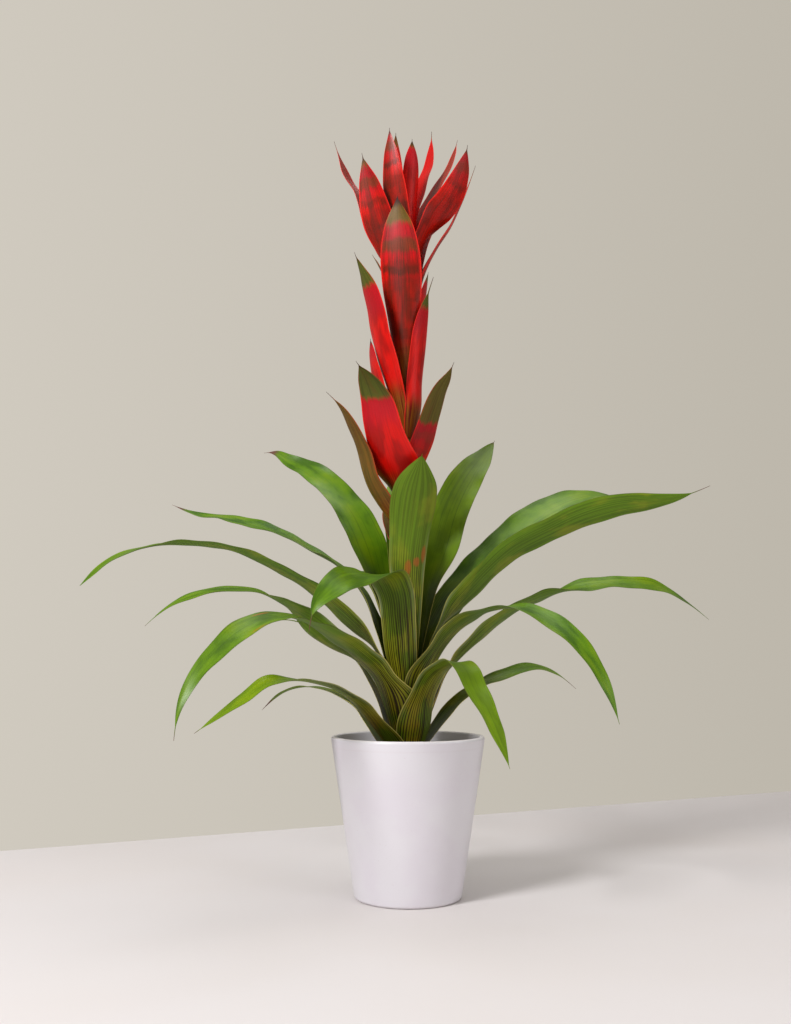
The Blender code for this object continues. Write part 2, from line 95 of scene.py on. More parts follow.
# Leaves from the lowest and outermost to the highest and innermost.
LEAVES = (
    strap(145, 6, 13, (0.9, 0.5, 0.1), foot=2.2, path=(
        (28, 22), (38, 33), (54, 48), (70, 57), (94, 65), (120, 67), (146, 61), (172, 44))),
    strap(210, 9.5, 19, (0.5, 0.7, 0.03), foot=1.8, roll=((0, 10), (0.45, 5), (0.7, -25), (1, -35)),
          thread=0.03, clasp=(1, 1.5, 20, 55), path=(
        (25, 27), (36, 41), (53, 57), (71, 68), (93, 74), (114, 76), (133.5, 74.5), (154, 61.5),
        (173, 49.5), (194, 36))),
    strap(25, 13, 17, (0.8, 0.3, 0.08), foot=1.5, roll=((0, 0), (0.4, 15), (0.7, 35), (1, 20)),
          thread=0.06, path=(
        (20.5, 24), (32, 37.5), (49, 54), (72, 69), (102, 79.5), (131.5, 86), (156, 79.5), (178, 65))),
    strap(299, 16.5, 26, (0.35, 0.6, 0.01), foot=1.3, clasp=(1.6, 1.4, 20, 55), path=(
        (19, 34), (25, 57), (43, 78), (66, 88, 0.7), (80, 90.5, 1.2), (91, 85, 1.5), (102.5, 70.5, 1.5),
        (119.5, 52.5, 1.5), (134, 34.5, 1.5), (147.5, 12, 1.5))),
    strap(157, 20, 9, (1.0, 0.2, 0.03), foot=2.4, path=(
        (20, 37), (26.5, 55.5), (37.5, 75.5), (50.5, 92.5), (64.5, 106), (81, 116), (101, 124.5),
        (123, 129.5), (142.5, 127))),
    strap(226, 23.5, 29, (0.3, 0.15, 0.03), foot=1.55, taper=3.5,
          roll=((0, 0), (0.3, 10), (0.5, -10), (0.7, -28), (1, -30)), thread=0.03,
          clasp=(1, 2.1, 32, 66), path=(
        (18, 44), (32, 76), (62, 98.5), (92, 112.5), (120.5, 123), (142, 126.5), (165, 122.5),
        (185, 114), (206.5, 98.5), (225, 80), (237, 59), (241, 36.5))),
    strap(16, 27, 26, (0.9, 0.15, 0.01), foot=1.5,
          roll=((0, -10), (0.3, -35), (0.48, -25), (0.62, 30), (0.8, 45), (1, 30)), path=(
        (19, 43), (33.5, 77), (64.5, 109), (99, 135), (135, 150.5), (176.5, 161), (217.5, 165),
        (249.5, 162.5), (277, 150.5), (306, 131))),
    strap(200, 30.5, 23, (0.3, 0.1, 0.02), foot=1.5,
          roll=((0, 0), (0.25, 25), (0.42, 58), (0.55, 5), (0.7, -20), (1, -20)), thread=0.03, path=(
        (17, 49), (25, 68.5), (40.5, 90.5), (67, 108.5), (97.5, 131), (118, 142.5), (138, 150),
        (157.5, 151), (186.5, 146), (207, 137.5), (228, 120))),
    strap(47, 34, 22, (0.4, 0.2, 0.02), roll=((0, 0), (1, 30)), path=(
        (17, 54), (27, 89), (44, 120), (70, 146), (95, 168), (118, 186), (135, 196))),
    strap(325, 38.5, 26.5, (0.25, 0.05, 0.01), taper=4,
          roll=((0, 0), (0.35, -8), (0.45, 0), (0.65, 25), (1, 30)), clasp=(1.7, 1, 38, 78), path=(
        (16, 57), (23, 85), (39, 109), (65.5, 128), (91, 134.5), (113.5, 135), (136, 126.5),
        (158, 111.5), (175.5, 92), (188, 69.5), (196.5, 44))),
    strap(180, 41, 24, (0.8, 0.1, 0.0), foot=2.5, taper=7,
          roll=((0, 20), (0.2, 42), (0.35, 30), (0.5, 16), (0.7, 5), (1, -46)), thread=0.0, path=(
        (16, 60), (26.5, 97), (55.5, 129.5), (87, 155), (126, 177), (160.5, 191), (194.5, 195),
        (229.5, 193.5), (264.5, 182), (293, 158))),
    strap(86, 44, 22, (0.4, 0.2, 0.02), foot=1.0, path=(
        (16, 62), (22, 84), (33, 108), (54, 128), (86, 140), (112, 142), (132, 134))),
    strap(93, 47.5, 28, (0.3, 0.1, 0.02), foot=1.3, path=(
        (14.5, 64), (20, 84), (27, 107), (52, 152), (100, 197), (150, 217), (196, 214), (236, 194),
        (262, 169))),
    strap(354, 51, 26.5, (0.45, 0.15, 0.05), taper=7,
          roll=((0, -15), (0.3, -38), (0.5, -46), (0.75, -62), (1, -62)), thread=0.05, path=(
        (14, 67), (29, 120), (60, 157.5), (96, 190), (128, 206.5), (159, 220), (189.5, 228), (220, 231),
        (246, 236), (267, 244))),
    strap(155, 52.5, 24, (0.3, 0.0, 0.06), foot=1.7,
          roll=((0, 10), (0.3, 15), (0.5, 0), (0.72, -26), (0.9, -24), (1, -15)), thread=0.01, path=(
        (14, 67), (19.5, 90), (29, 120), (46, 153), (68.5, 176.5), (98.5, 193.5), (124, 208),
        (163.5, 222), (203.5, 232), (221.5, 234), (240, 239.5), (262, 248))),
    strap(249, 56, 42, (0.15, 0.1, 0.07), foot=1.1, taper=5,
          roll=((0, 0), (0.5, 0), (0.75, -30), (1, -30)), thread=0.06, clasp=(1.25, 1, 40, 90), path=(
        (12.5, 72), (20, 97), (27, 127), (33, 149, -1), (43, 160.5, -4), (76, 161.5, -8),
        (113, 150.5, -11), (129, 134, -14), (133.5, 113.5, -15))),
    strap(118, 58, 27, (0.3, 0.1, 0.02), foot=1.2, path=(
        (14.5, 76), (23.5, 112), (43, 150), (70, 170), (98, 178), (118, 172))),
    strap(30, 62, 41, (0.4, 0.15, 0.01), foot=0.9, taper=6, roll=((0, 0), (0.3, 8), (0.7, 32), (1, 30)),
          path=(
        (12, 81), (19, 104), (33, 131), (66.5, 168.5), (115, 208), (158.5, 237), (198, 253), (234, 259),
        (258, 256))),
    strap(145, 64.5, 43, (0.1, 0.05, 0.07), foot=0.95, taper=2.6,
          roll=((0, 0), (0.3, -25), (0.6, -30), (0.8, -50), (0.92, -75), (1, -10)), thread=0.01, path=(
        (12.5, 84), (20, 120), (30.5, 155.5), (47, 201.5), (64.5, 231), (87.5, 255), (115, 275.5),
        (142, 288), (161, 298), (176, 299.5))),
    strap(48, 70, 38, (0.1, 0.55, 0.03), foot=0.85, taper=7,
          roll=((0, 0), (0.4, 25), (0.8, 35), (1, 35)), thread=0.01, path=(
        (11, 89), (18, 122.5), (27, 154.5), (44.5, 192), (64, 235.5), (92, 272), (112.5, 291.5),
        (134.5, 312))),
    strap(266, 73.5, 54, (0.2, 0.35, 0.0), foot=0.93, taper=8, thread=0.01, path=(
        (11, 95), (16, 132), (22, 177, 3), (31, 217, 11), (44, 248, 15), (54, 267.5, 17))),
    strap(100, 77.5, 40, (0.2, 0.1, 0.02), foot=1.0, path=(
        (10.3, 101), (16, 142), (26, 192), (42, 232), (62, 260), (80, 270))),
)

# Bracts up the flower stalk, from the lowest to the highest.
BRACTS = (
    strap(112, 120, 26, (0.5, 0.6, 0.5), path=(
        (12, 150), (17, 178), (23, 202))),
    strap(50, 142, 26, (0.5, 0.6, 0.5), path=(
        (12, 170), (19, 198), (30, 224))),
    strap(127, 160, 27, (0.5, 0.6, 0.5), path=(
        (11, 184), (22, 212), (35, 236))),
    strap(203, 205, 31, (0.15, 0.9, 0.8), thread=0.07, path=(
        (21, 224), (37, 250), (45, 277), (53, 295), (63.5, 314), (78.5, 328))),
    strap(241, 223, 41, (0.72, 0.0, 0.3), foot=1.8, thread=0.04, path=(
        (16, 247), (34, 271), (48.5, 294.5), (59.5, 317), (76, 333), (91, 341.5))),
    strap(307, 241, 24, (0.52, 0.3, 0.9), thread=0.04, path=(
        (14, 265), (26.5, 290), (37.5, 311.5), (48.5, 328.5), (59.5, 339.5), (66.5, 348.5))),
    strap(172, 270, 35, (0.97, 0.0, 0.0), roll=((0, 0), (0.4, 22), (1, 30)), path=(
        (13, 296), (22, 327.5), (30.5, 353.5), (34.5, 388.5))),
    strap(104, 284, 19, (0.7, 0.2, 0.3), path=(
        (11, 310), (13.5, 340), (16.5, 368), (19.5, 390))),
    strap(206, 300, 40, (0.8, 0.0, 0.2), foot=1.25, thread=0.03, path=(
        (15, 330), (23, 357), (30, 384), (34.5, 410), (42, 433.5), (54, 461))),
    strap(311, 292, 24, (0.8, 0.0, 0.3), foot=1.45, thread=0.1, path=(
        (12.5, 320), (13.5, 344), (17, 372), (21, 398), (27, 418), (36, 436))),
    strap(253, 330, 51, (0.85, 0.75, 0.2), foot=1.5, thread=0.01, path=(
        (11, 357), (16, 392), (22, 432), (28, 472), (32, 512))),
    strap(350, 344, 34, (0.9, 0.15, 0.2), path=(
        (10, 370), (14, 400), (17, 425), (20, 450))),
    strap(90, 358, 40, (0.85, 0.4, 0.2), path=(
        (10, 387), (17, 422), (28, 452), (40, 470))),
    strap(165, 373, 34, (0.8, 0.5, 0.5), path=(
        (9, 400), (16, 432), (26, 457), (34, 472))),
    strap(12, 386, 26, (0.85, 0.3, 0.3), thread=0.08, path=(
        (9, 412), (15.5, 446.5), (29.5, 477.5), (41.5, 497), (53, 523), (68, 564.5))),
    strap(213, 399, 34, (0.92, 0.65, 0.2), roll=((0, 0), (0.35, 15), (0.6, 45), (1, 45)), thread=0.03,
          path=(
        (9, 425), (16.5, 448), (27, 479.5), (35.5, 503.5), (43, 530), (50, 555.5))),
    strap(47, 409, 26, (0.85, 0.3, 0.1), path=(
        (11, 437), (21, 482), (35, 512), (46, 532))),
    strap(142, 418, 28, (0.92, 0.3, 0.4), thread=0.05, path=(
        (8.5, 440), (30, 474), (46, 511, 2), (56, 541.5, 5), (66.5, 559, 8), (72.5, 578, 11),
        (79, 600, 13))),
    strap(340, 427, 32, (0.95, 0.45, 0.2), roll=((0, 0), (0.35, -12), (0.6, -35), (1, -35)),
          thread=0.03, path=(
        (10, 450), (15, 477), (28, 499.5), (43.5, 517.5), (53.5, 538.5), (60, 567))),
    strap(238, 435, 31, (0.98, 0.7, 0.1), taper=3.5, thread=0.02, path=(
        (9, 460), (18, 501), (27.5, 540), (31, 581))),
    strap(25, 442, 38, (0.95, 0.3, 0.5), thread=0.04, path=(
        (9, 465), (18, 508), (32, 537.5), (46, 565), (55, 595.5))),
    strap(120, 449, 20, (0.85, 0.3, 0.1), path=(
        (9, 473), (15, 513.5), (20.5, 557), (21, 600.5))),
    strap(290, 456, 26, (0.93, 0.0, 0.0), thread=0.02, path=(
        (8, 478), (9.5, 517.5), (13.5, 552.5), (14, 577))),
    strap(42, 463, 20, (0.9, 0.0, 0.0), thread=0.06, path=(
        (7, 488), (10.5, 511), (17, 530), (22.5, 550.5), (28.5, 565.5), (32, 584.5), (33, 604))),
)

# Stalk profile: (height, share of the base radius), tapering from the crown into the flower stalk.
STEM = ((0, 1.0), (4, 1.0), (42, 0.80), (82, 0.54), (107, 0.45), (212, 0.40), (452, 0.30),
        (486, 0.20))

# Scorch marks: leaf number, then (across, millimetres along, half width across, half length) of each.
SCARS = {
    6: ((0.82, 213, 0.07, 9), (-0.78, 196, 0.07, 11)),
    21: ((0.05, 100, 0.2, 8), (0.8, 112, 0.16, 9), (0.45, 105, 0.2, 5)),
}

# Points along and across a strap, the reach (mm) over which its sheath opens into a blade, the most
# degrees that a sheath wraps to each side, and the height (mm) of the waves in its margins.
LeafShape = namedtuple("LeafShape", "rings strips opening wrap ripple")
LEAF = LeafShape(110, 14, (26, 48), 60, 0.7)
BRACT = LeafShape(64, 12, (14, 34), 72, 0.45)

# The stage: the table top's corners, the camera's place and its tilt in degrees (90 is level), then
# each light: name, place, what it faces, diameter, and its power as a share of the key light's.
TABLE = ((-3.0, -1.005), (3.0, 1.819), (3.0, -4.0), (-3.0, -4.0))
TABLE_THICKNESS = 0.02
EYE = (-0.0108, -0.9, 0.203)
EYE_TILT = 98.2
LIGHTS = (
    ("key_light", (-1.15, -1.25, 1.45), (0.0, 0.0, 0.2), 0.55, 1.0),
    ("top_light", (0.2, 0.3, 2.0), (0.0, 0.0, 0.3), 1.4, 0.3),
    ("fill_light", (1.4, -1.2, 0.9), (0.0, 0.0, 0.3), 1.2, 0.2),
)


# ---- settings a user would change ----
def paint(red, green, blue):
    """Linear colour from the 0 to 255 steps of a paint chart."""
    step = np.array((red, green, blue)) / 255.0
    return tuple(np.where(step <= 0.04045, step / 12.92, ((step + 0.055) / 1.055) ** 2.4).tolist())


def length_setting(name, description, default):
    """A length in metres."""
    return bpy.props.FloatProperty(name=name, description=description, default=default, min=0.0,
                                   unit="LENGTH", precision=4)


def colour_setting(name, description, default):
    """A colour, its default given in steps of a paint chart."""
    return bpy.props.FloatVectorProperty(name=name, description=description, size=3, min=0.0, max=1.0,
                                         subtype="COLOR", default=paint(*default))


class CoverPotSettings(bpy.types.PropertyGroup):
    """Sizes and glaze of the cover pot."""

    height: length_setting("Height", "Height of the cover pot", POT_HIGH.z)
    rim: length_setting("Rim radius", "Outer radius at the rim", POT_HIGH.x)
    foot: length_setting("Foot radius", "Outer radius at the foot", 0.046)
    wall: length_setting("Wall", "Thickness of the wall", 0.0045)
    glaze: colour_setting("Glaze", "Colour of the glaze", (222, 219, 226))


class NurseryPotSettings(bpy.types.PropertyGroup):
    """Colour of the nursery pot inside."""

    plastic: colour_setting("Plastic", "Colour of the nursery pot", (38, 38, 40))


class MixSettings(bpy.types.PropertyGroup):
    """Potting mix and its loose crumbs of bark."""

    crumbs: bpy.props.IntProperty(name="Crumbs", description="Number of loose crumbs of bark",
                                  default=520, min=0, max=2000)
    crumb_size: length_setting("Crumb size", "Half length of a middling crumb", 0.0022)
    peat: colour_setting("Peat", "Colour of the potting mix", (58, 41, 30))
    bark: colour_setting("Bark", "Colour of the crumbs of bark", (112, 76, 50))


class StalkSettings(bpy.types.PropertyGroup):
    """Size and colour of the stalk."""

    radius: length_setting("Base radius", "Radius of the stalk where it enters the mix", STEM_HIGH.x)
    colour: colour_setting("Colour", "Colour of the stalk", (128, 118, 52))


class LeafSettings(bpy.types.PropertyGroup):
    """Size and colours of the green leaves."""

    thickness: length_setting("Thickness", "Thickness of a leaf at its middle", 0.0008)
    upper: colour_setting("Upper side", "Colour of the glossy upper side", (86, 124, 12))
    under: colour_setting("Underside", "Colour of the duller underside", (86, 120, 16))
    sheath: colour_setting("Sheath", "Colour between the stripes of a sheath", (134, 140, 26))
    stripe: colour_setting("Stripes", "Colour of the stripes of a sheath", (38, 22, 4))
    dry: colour_setting("Dry tip", "Colour of a dry tip", (96, 60, 52))


class BractSettings(bpy.types.PropertyGroup):
    """Size and colours of the bracts."""

    thickness: length_setting("Thickness", "Thickness of a bract at its middle", 0.0008)
    red: colour_setting("Red", "Colour of a bract's middle", (214, 14, 7))
    crimson: colour_setting("Crimson", "Colour of the band under the green end", (178, 14, 30))
    green: colour_setting("Green end", "Colour of the green end", (86, 90, 28))
    dull: colour_setting("Dull", "Brownish colour over the red of some bracts", (98, 26, 10))


class StageSettings(bpy.types.PropertyGroup):
    """Floor, backdrop, lights and camera."""

    floor: colour_setting("Floor", "Colour of the floor", (224, 219, 220))
    backdrop: colour_setting("Backdrop", "Colour of the backdrop on the lit side", (209, 203, 192))
    shade: colour_setting("Backdrop shade", "Colour of the backdrop on the shaded side", (188, 182, 170))
    lens: bpy.props.FloatProperty(name="Lens", description="Focal length of the camera in millimetres",
                                  default=35.4, min=10.0, unit="CAMERA")
    key: bpy.props.FloatProperty(name="Key light", description="Power of the main soft light",
                                 default=37.0, min=0.0, unit="POWER")
    ambient: bpy.props.FloatProperty(name="Ambient", description="Strength of the light from all round",
                                     default=0.5, min=0.0)


# ---- finishes ----
def joined(operation, swapped=False):
    """A method that joins its two terms, in order or swapped, with one Math node."""
    def method(self, other):
        terms = (other, self) if swapped else (self, other)
        return self.maths(operation, *terms)
    return method


class Signal:
    """An output socket of a finish. Arithmetic on it adds Math nodes."""

    def __init__(self, finish, socket):
        self.finish = finish
        self.socket = socket

    def output(self, key):
        return Signal(self.finish, self.socket.node.outputs[key])

    def maths(self, operation, *terms):
        return self.finish.node("ShaderNodeMath", {"operation": operation}, dict(enumerate(terms)))

    __add__ = __radd__ = joined("ADD")
    __mul__ = __rmul__ = joined("MULTIPLY")
    __sub__ = joined("SUBTRACT")
    __rsub__ = joined("SUBTRACT", swapped=True)
    __truediv__ = joined("DIVIDE")
    __pow__ = joined("POWER")

    def __abs__(self):
        return self.maths("ABSOLUTE", self)

    def rise(self, low, high):
        """0 below low, 1 above high, a smooth step between. low and high may be swapped or signals."""
        settings = {"interpolation_type": "SMOOTHSTEP"}
        return self.finish.node("ShaderNodeMapRange", settings, {0: self, 1: low, 2: high})


class Finish:
    """A material made of one Principled shader and the nodes that feed it, or a world's nodes."""

    def __init__(self, name, owners=bpy.data.materials):
        self.material = owners.new(name)
        self.material.use_nodes = True
        self.tree = self.material.node_tree
        self.shader = self.tree.nodes.get("Principled BSDF")

    def feed(self, socket, value):
        """Links a signal to a socket, or sets the socket to a number or colour."""
        if isinstance(value, Signal):
            self.tree.links.new(value.socket, socket)
        elif socket.type == "RGBA":
            socket.default_value = (*value, 1.0)
        else:
            socket.default_value = value

    def node(self, kind, settings=None, inputs=None, output=0):
        """A node of that kind, with its settings made first, then its sockets filled or linked.

        Returns the signal of its output socket, or nothing where the output is None.
        """
        made = self.tree.nodes.new(kind)
        for name, value in (settings or {}).items():
            setattr(made, name, value)
        for key, value in (inputs or {}).items():
            self.feed(made.inputs[key], value)
        return None if output is None else Signal(self, made.outputs[output])

    def attribute(self, name, output="Vector"):
        return self.node("ShaderNodeAttribute", {"attribute_name": name}, None, output)

    def point(self, x, y, z):
        """A vector from three signals or numbers."""
        return self.node("ShaderNodeCombineXYZ", None, {0: x, 1: y, 2: z})

    def parts(self, vector):
        """The three signals that a vector holds."""
        first = self.node("ShaderNodeSeparateXYZ", None, {0: vector})
        return first, first.output(1), first.output(2)

    def fold(self, value):
        """Triangle wave: 0 where the value is an even number, 1 where it is an odd one."""
        return self.node("ShaderNodeMath", {"operation": "PINGPONG"}, {0: value, 1: 1.0})

    def object_point(self):
        return self.node("ShaderNodeTexCoord", None, None, "Object")

    def noise(self, place, scale=1.0, detail=2.0, roughness=0.5):
        inputs = {"Vector": place, "Scale": scale, "Detail": detail, "Roughness": roughness}
        return self.node("ShaderNodeTexNoise", None, inputs)

    def mix(self, first, second, share):
        """The first colour, turning into the second as the share goes from 0 to 1."""
        settings = {"data_type": "RGBA", "clamp_factor": True}
        return self.node("ShaderNodeMix", settings, {0: share, 6: first, 7: second}, 2)

    def bump(self, height, distance, strength=1.0):
        inputs = {"Strength": strength, "Distance": distance, "Height": height}
        return self.node("ShaderNodeBump", None, inputs, "Normal")

    def done(self, **sockets):
        """Fills the shader's sockets, named with _ for a space, and returns the material."""
        for name, value in sockets.items():
            self.feed(self.shader.inputs[name.replace("_", " ")], value)
        return self.material


def veins(finish, across, run, seed, count, stretch):
    """Noise drawn out along the blade: count sets how fine it is across, stretch (mm) its length."""
    place = finish.point(across * count + seed * 37.0, run / stretch, seed * 19.0)
    return finish.noise(place, detail=2.5, roughness=0.55)


def strap_signals(finish):
    """What a strap's mesh says of each point: across (-1 to 1), share of the length, millimetres from
    the foot, 1 on the underside, the strap's own number and its own three tones."""
    place, tones = (finish.parts(finish.attribute(name)) for name in ("strap", "tone"))
    under, seed = (finish.attribute(name, "Fac") for name in ("under", "seed"))
    return *place, under, seed, *tones


def leaf_finish(name, look, scars=()):
    """Glossy green above, duller and striped below, with a striped sheath, pale margins, a dry tip."""
    f = Finish(name)
    across, share, run, under, seed, warm, yellow, dry = strap_signals(f)
    edge = abs(across)

    broad = veins(f, across, run, seed, 12.0, 130.0)
    fine = veins(f, across, run, seed + 0.31, 34.0, 60.0)
    cloud = f.noise(f.point(across * 0.9 + seed * 11.0, run / 34.0, seed * 5.0), detail=3.0)
    sheath = run.rise(140.0, 60.0)

    upper = f.mix(look.upper, paint(46, 84, 6), cloud.rise(0.46, 0.66) * 0.8)
    upper = f.mix(upper, paint(138, 160, 14), (cloud.rise(0.5, 0.3) * 0.3 + yellow * 0.5))
    upper = f.mix(upper, paint(48, 74, 12), broad.rise(0.5, 0.7) * 0.45)
    below = f.mix(look.under, paint(56, 82, 8), broad.rise(0.46, 0.6) * 0.65)
    below = f.mix(below, paint(74, 52, 14), fine.rise(0.55, 0.68) * run.rise(230.0, 120.0) * 0.5)
    below = f.mix(below, paint(142, 142, 30), cloud.rise(0.52, 0.3) * 0.4 + yellow * 0.3)
    # Painted shade: the upper side turns dark green towards the foot, where the leaves overlap in the
    # crown.
    upper = f.mix(upper, paint(34, 56, 6), run.rise(170.0, 60.0) * 0.6)
    blade = f.mix(upper, below, under)

    between = f.mix(look.sheath, paint(84, 112, 8), cloud.rise(0.4, 0.58) * 0.85)
    rust = warm * cloud.rise(0.6, 0.42) * run.rise(70.0, 20.0)
    between = f.mix(between, paint(156, 66, 8), rust * 0.8)
    ribs = f.fold(across * 17.0 + (cloud - 0.5) * 1.5 + (broad - 0.5) * 3.0 + seed * 9.0)
    lines = (ribs.rise(0.7, 0.3) * (0.7 + fine.rise(0.4, 0.6) * 0.3) + broad.rise(0.58, 0.66) * 0.3)
    lines = lines * edge.rise(1.0, 0.88)
    striped = f.mix(between, look.stripe, lines)
    colour = f.mix(blade, striped, sheath * (under * 0.8 + 0.2 + warm * 0.5))

    # Painted sheen: pale grey-green along the underside's margins, about 24 to 150 mm from the foot.
    painted_sheen = edge.rise(0.72, 0.95) * (run.rise(24.0, 60.0) * run.rise(150.0, 90.0)) * under
    colour = f.mix(colour, paint(160, 166, 130), painted_sheen * (0.1 + cloud.rise(0.4, 0.6) * 0.3))
    rim = edge.rise(0.94, 0.985)
    colour = f.mix(colour, paint(196, 182, 96), rim * sheath * 0.85)
    colour = f.mix(colour, paint(92, 96, 34), rim * (1.0 - sheath) * 0.5)
    tip = (share + dry + (cloud - 0.5) * 0.03).rise(0.995, 1.03)
    colour = f.mix(colour, look.dry, tip)
    for middle, distance, half_width, half_length in scars:
        spot = ((across - middle) / half_width) ** 2.0 + ((run - distance) / half_length) ** 2.0
        colour = f.mix(colour, paint(164, 84, 34), (spot + (fine - 0.5) * 1.6).rise(1.1, 0.2) * 0.7)

    relief = fine * 0.35 + broad * 0.65 + f.noise(f.object_point(), 900.0, 2.0) * 0.12
    return f.done(Base_Color=colour,
                  Roughness=0.36 + under * 0.14 + (cloud - 0.5) * 0.25 + tip * 0.3,
                  Normal=f.bump(relief * share.rise(1.0, 0.7), 0.00035, 0.55),
                  Specular_IOR_Level=0.22)


def bract_finish(name, look):
    """Red with a crimson band and a green end, dull streaks, a striped foot and a bright red margin."""
    f = Finish(name)
    across, share, run, under, seed, green_from, dull, olive = strap_signals(f)
    edge = abs(across)

    broad = veins(f, across, run, seed, 8.0, 80.0)
    fine = veins(f, across, run, seed + 0.31, 26.0, 45.0)
    wander = f.noise(f.point(across * 1.6 + seed * 7.0, run / 30.0, seed * 3.0), detail=2.0)
    bands = f.noise(f.point(across * 0.5 + seed * 13.0, run / 9.0, seed * 23.0), detail=1.0)

    level = share + (wander - 0.5) * 0.09 + (fine - 0.5) * 0.05
    depth = level - green_from
    end = depth.rise(-0.015, 0.03)
    flush = depth.rise(-0.22, -0.08)
    red = f.mix(look.red, paint(150, 8, 5), wander.rise(0.42, 0.66) * 0.75)
    red = f.mix(red, look.crimson, flush * 0.85)
    patches = wander.rise(0.4, 0.62) * 0.35 + bands.rise(0.5, 0.64) * 0.2
    belt = depth.rise(-0.14, -0.11) * depth.rise(-0.05, -0.07)
    thin_belt = depth.rise(-0.235, -0.215) * depth.rise(-0.18, -0.2)
    body = depth.rise(-0.24, -0.32) * (0.75 + depth.rise(-0.5, -0.75) * 0.25)
    outer = f.mix(red, look.dull, (patches + body + thin_belt * 0.8) * dull * edge.rise(1.04, 0.8))
    outer = f.mix(outer, paint(84, 58, 24), belt * dull * edge.rise(1.04, 0.8) * 0.85)
    outer = f.mix(outer, paint(50, 26, 8), fine.rise(0.5, 0.64) * (0.18 + dull * 0.55))
    outer = f.mix(outer, paint(58, 34, 10), broad.rise(0.52, 0.66) * dull * 0.5)
    green = f.mix(look.green, paint(58, 56, 16), broad.rise(0.45, 0.65) * 0.6)
    green = f.mix(green, paint(110, 40, 22), wander.rise(0.5, 0.72) * 0.25)
    outer = f.mix(outer, green, end * (1.0 - 0.25 * dull))
    point = (share + (fine - 0.5) * 0.04).rise(0.93, 0.985)
    outer = f.mix(outer, paint(62, 20, 12), point * 0.8)
    foot = f.mix(paint(138, 84, 22), paint(98, 26, 10), fine.rise(0.44, 0.56))
    outer = f.mix(outer, foot, share.rise(0.3, 0.14))

    inner = f.mix(paint(196, 14, 10), paint(120, 10, 10), broad.rise(0.45, 0.7) * 0.6)
    inner = f.mix(inner, paint(74, 56, 28), olive * level.rise(0.35, 0.6) * edge.rise(1.0, 0.6))
    inner = f.mix(inner, green, depth.rise(0.02, 0.08) * 0.8)
    colour = f.mix(inner, outer, under)

    colour = f.mix(colour, paint(228, 38, 28), edge.rise(0.9, 0.97) * (1.0 - end * 0.6) * 0.8)
    tip = (share + (wander - 0.5) * 0.03).rise(0.93, 1.0)
    colour = f.mix(colour, paint(58, 30, 30), tip * 0.9)

    relief = fine * 0.5 + broad * 0.5 + f.noise(f.object_point(), 900.0, 2.0) * 0.12
    return f.done(Base_Color=colour,
                  Roughness=0.38 + (wander - 0.5) * 0.25 + tip * 0.2 + end * 0.06,
                  Normal=f.bump(relief * share.rise(1.0, 0.7), 0.00035, 0.5),
                  Specular_IOR_Level=0.2)


def stalk_finish(look):
    """Yellow-green stalk with red-brown stripes that run up it."""
    f = Finish("striped_stalk")
    x, y, z = f.parts(f.object_point())
    around = f.node("ShaderNodeMath", {"operation": "ARCTAN2"}, {0: y, 1: x})
    stripes = f.noise(f.point(around * 6.0, z * 18.0, 0.0), detail=3.0)
    patches = f.noise(f.object_point(), 60.0, 3.0)
    colour = f.mix(look.colour, paint(104, 34, 20), stripes.rise(0.48, 0.6) * 0.8)
    colour = f.mix(colour, paint(86, 104, 40), patches.rise(0.55, 0.7) * 0.5)
    return f.done(Base_Color=colour,
                  Roughness=0.45 + patches * 0.15,
                  Normal=f.bump(stripes, 0.0004, 0.5))


def glaze_finish(look):
    """Satin white glaze, a little cooler where it is thick, over a clay that shows at the foot ring."""
    f = Finish("white_glaze_fired")
    place = f.object_point()
    z = f.parts(place)[2]
    pool = f.noise(place, 22.0, 3.0)
    speck = f.noise(place, 620.0, 1.0)
    colour = f.mix(look.glaze, paint(218, 212, 222), pool.rise(0.4, 0.65) * 0.6)
    colour = f.mix(colour, paint(206, 196, 202), speck.rise(0.7, 0.8) * 0.35)
    # Painted highlight: a thin lighter line along the top of the rim.
    lip_highlight = z.rise(look.height - 0.0012, look.height - 0.0002)
    colour = f.mix(colour, paint(244, 238, 240), lip_highlight * 0.8)
    line = abs(z - (look.height - 0.0085)).rise(0.0012, 0.0002)
    colour = f.mix(colour, paint(216, 208, 214), line * 0.2)
    foot = z.rise(0.0022, 0.0009)
    colour = f.mix(colour, paint(204, 198, 200), foot * 0.6)
    wave = f.noise(place, 34.0, 2.0) + f.noise(place, 300.0, 2.0) * 0.05
    return f.done(Base_Color=colour,
                  Roughness=0.3 + (pool - 0.5) * 0.12 + foot * 0.4,
                  Normal=f.bump(wave, 0.0006, 0.3),
                  Coat_Weight=0.25 * (1.0 - foot),
                  Coat_Roughness=0.12)


def plastic_finish(look):
    """Matt black nursery plastic with a fine moulded grain, scuffed and dusted with peat."""
    f = Finish("nursery_plastic_moulded")
    place = f.object_point()
    dust = f.noise(place, 55.0, 4.0)
    grain = f.noise(place, 1400.0, 2.0)
    colour = f.mix(look.plastic, paint(92, 76, 60), dust.rise(0.52, 0.72) * 0.5)
    return f.done(Base_Color=colour, Roughness=0.5 + dust * 0.25, Normal=f.bump(grain, 0.0002, 0.5))


def peat_finish(look):
    """Dark crumbly peat with fibres and paler specks."""
    f = Finish("potting_peat")
    place = f.object_point()
    crumb = f.noise(place, 330.0, 5.0, 0.65)
    patch = f.noise(place, 70.0, 3.0)
    colour = f.mix(look.peat, paint(26, 18, 13), crumb.rise(0.42, 0.6) * 0.85)
    colour = f.mix(colour, paint(118, 92, 64), crumb.rise(0.66, 0.76) * 0.7)
    colour = f.mix(colour, paint(82, 64, 44), patch.rise(0.55, 0.75) * 0.4)
    return f.done(Base_Color=colour, Roughness=0.85 + patch * 0.12, Normal=f.bump(crumb, 0.0016, 0.9))


